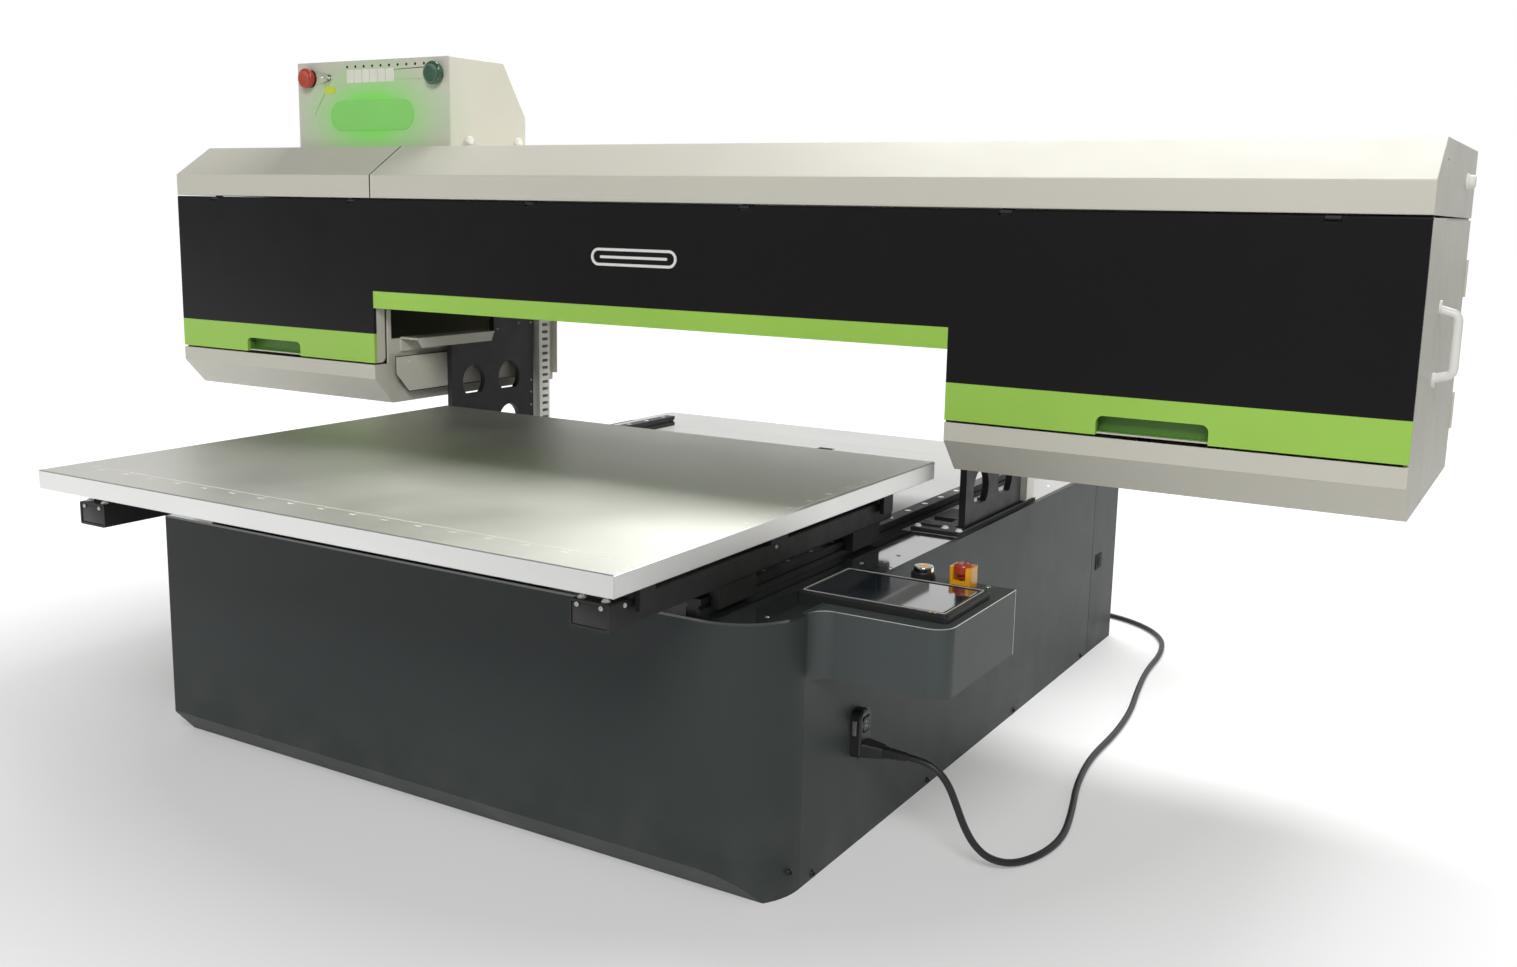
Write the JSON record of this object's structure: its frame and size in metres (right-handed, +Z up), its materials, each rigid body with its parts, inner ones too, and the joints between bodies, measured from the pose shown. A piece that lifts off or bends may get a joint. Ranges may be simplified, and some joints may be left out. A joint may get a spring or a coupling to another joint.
{
  "type": "flatbed uv printer",
  "caption": "Flatbed UV printer: dark base cabinet, aluminium bed sliding under a lifting gantry with a carriage behind a green-striped black door.",
  "frame": {"origin": "centre of the base's underside, where it rests", "axes": "+X to the operator's right along the gantry, +Y to the back along the bed travel, +Z up"},
  "size_m": [2.0865, 1.799, 1.015],
  "materials": {
    "base_paint": "satin charcoal paint",
    "deck_dark": "gloss charcoal paint",
    "deck_light": "satin light grey paint",
    "hood_paint": "satin warm grey paint",
    "green_trim": "satin green paint",
    "door_black": "black acrylic sheet",
    "aluminium": "brushed and anodised",
    "black_steel": "black powder coat",
    "steel": "ground",
    "black_plastic": "moulded",
    "screen": "polished",
    "yellow_plastic": "moulded",
    "red_plastic": "moulded",
    "green_plastic": "moulded",
    "white_plastic": "moulded",
    "silver": "polished",
    "duct_plastic": "extruded",
    "belt_rubber": "moulded",
    "cord_rubber": "moulded"
  },
  "bodies": {
    "base": {"base_pan": "black_steel", "base_frame": "black_steel", "front_cover": "base_paint", "side_panels": "base_paint", "rear_cover": "base_paint", "front_deck": "deck_dark", "rear_deck": "deck_light", "rear_deck_cover": "deck_light", "control_pod": "base_paint", "screen_bezel": "black_plastic", "screen_glass": "screen", "estop_shroud": "yellow_plastic", "start_collar": "black_plastic", "power_inlet": "black_plastic", "mains_plug": "cord_rubber", "mains_cord": "cord_rubber", "cord_coil": "cord_rubber", "wall_plug": "cord_rubber", "leg_seals": "black_steel", "wiring_ducts": "duct_plastic", "z_guides": "steel", "drive_motors": "black_steel", "y_rails": "black_steel"},
    "bed": {"bed_plate": "aluminium", "bed_tubes": "black_steel", "bed_frame": "black_steel", "y_blocks": "black_steel"},
    "gantry": {"legs": "black_steel", "gantry_beam": "aluminium", "x_rails": "steel", "left_wing": "hood_paint", "right_wing": "hood_paint", "top_covers": "hood_paint", "gantry_rear_cover": "hood_paint", "drip_channel": "hood_paint", "z_blocks": "steel", "x_drive": "black_steel", "x_belt": "belt_rubber", "top_box": "hood_paint", "door_hinge_rod": "steel"},
    "carriage": {"carriage_body": "hood_paint", "print_heads": "black_plastic", "uv_lamps": "black_steel"},
    "front_door": {"door_panel": "door_black", "door_trim": "green_trim", "door_frame": "hood_paint"},
    "end_door": {"end_door": "hood_paint", "end_handle": "white_plastic"},
    "y_screw": {"y_screw": "steel"},
    "left_z_screw": {"left_z_screw": "steel"},
    "right_z_screw": {"right_z_screw": "steel"},
    "capping_tray": {"capping_tray": "black_plastic"},
    "start_button": {"start_button": "silver"},
    "estop_button": {"estop_button": "red_plastic"},
    "rocker_switch": {"rocker_switch": "black_plastic"},
    "red_button": {"red_button": "red_plastic"},
    "green_button": {"green_button": "green_plastic"},
    "toggle_lever": {"toggle_lever": "silver"},
    "x_drive_pulley": {"x_drive_pulley": "aluminium"},
    "x_idler_pulley": {"x_idler_pulley": "aluminium"}
  },
  "joints": [
    {"name": "bed_slide", "type": "slide", "parent": "base", "child": "bed", "axis": [0, 1, 0], "range_m": [0, 0.65]},
    {"name": "y_screw_spin", "type": "hinge", "parent": "base", "child": "y_screw", "pos_m": [0, 0, 0.285], "axis": [0, 1, 0], "range_deg": [-11710, 10]},
    {"name": "gantry_lift", "type": "slide", "parent": "base", "child": "gantry", "axis": [0, 0, 1], "range_m": [-0.12, 0]},
    {"name": "left_z_screw_spin", "type": "hinge", "parent": "base", "child": "left_z_screw", "pos_m": [-0.465, 0.04, 0.16], "axis": [0, 0, 1], "range_deg": [-10, 4330]},
    {"name": "right_z_screw_spin", "type": "hinge", "parent": "base", "child": "right_z_screw", "pos_m": [0.465, 0.04, 0.16], "axis": [0, 0, 1], "range_deg": [-10, 4330]},
    {"name": "carriage_slide", "type": "slide", "parent": "gantry", "child": "carriage", "axis": [1, 0, 0], "range_m": [-1.6, 0.1]},
    {"name": "x_drive_pulley_spin", "type": "hinge", "parent": "gantry", "child": "x_drive_pulley", "pos_m": [1, 0.095, 0.8335], "axis": [0, 0, 1], "range_deg": [-5740, 370]},
    {"name": "x_idler_pulley_spin", "type": "hinge", "parent": "gantry", "child": "x_idler_pulley", "pos_m": [-0.94, 0.095, 0.8335], "axis": [0, 0, 1], "range_deg": [-5740, 370]},
    {"name": "capping_lift", "type": "slide", "parent": "gantry", "child": "capping_tray", "axis": [0, 0, 1], "range_m": [-0.03, 0]},
    {"name": "front_door_hinge", "type": "hinge", "parent": "gantry", "child": "front_door", "pos_m": [0.03, -0.215, 0.7785], "axis": [-1, 0, 0], "range_deg": [0, 80]},
    {"name": "end_door_hinge", "type": "hinge", "parent": "gantry", "child": "end_door", "pos_m": [1.0612, 0.2505, 0.61], "axis": [0, 0, 1], "range_deg": [0, 100]},
    {"name": "start_press", "type": "slide", "parent": "base", "child": "start_button", "axis": [0, 0, -1], "range_m": [0, 0.003], "stiffness_N_per_m": 400},
    {"name": "estop_press", "type": "slide", "parent": "base", "child": "estop_button", "axis": [0, 0, -1], "range_m": [0, 0.004]},
    {"name": "rocker_tilt", "type": "hinge", "parent": "base", "child": "rocker_switch", "pos_m": [0.512, -0.428, 0.1625], "axis": [0, 1, 0], "range_deg": [-6, 6]},
    {"name": "red_button_press", "type": "slide", "parent": "gantry", "child": "red_button", "axis": [0, 1, 0], "range_m": [0, 0.005], "stiffness_N_per_m": 500},
    {"name": "green_button_press", "type": "slide", "parent": "gantry", "child": "green_button", "axis": [0, 1, 0], "range_m": [0, 0.004], "stiffness_N_per_m": 500},
    {"name": "toggle_tilt", "type": "hinge", "parent": "gantry", "child": "toggle_lever", "pos_m": [-0.707, -0.118, 0.988], "axis": [1, 0, 0], "range_deg": [-15, 15]}
  ],
  "couplings": [
    {"joint": "y_screw_spin", "follows": "bed_slide", "rad_per_m": -314.16},
    {"joint": "left_z_screw_spin", "follows": "gantry_lift", "rad_per_m": -628.32},
    {"joint": "right_z_screw_spin", "follows": "gantry_lift", "rad_per_m": -628.32},
    {"joint": "x_drive_pulley_spin", "follows": "carriage_slide", "rad_per_m": 62.5},
    {"joint": "x_idler_pulley_spin", "follows": "carriage_slide", "rad_per_m": 62.5}
  ]
}
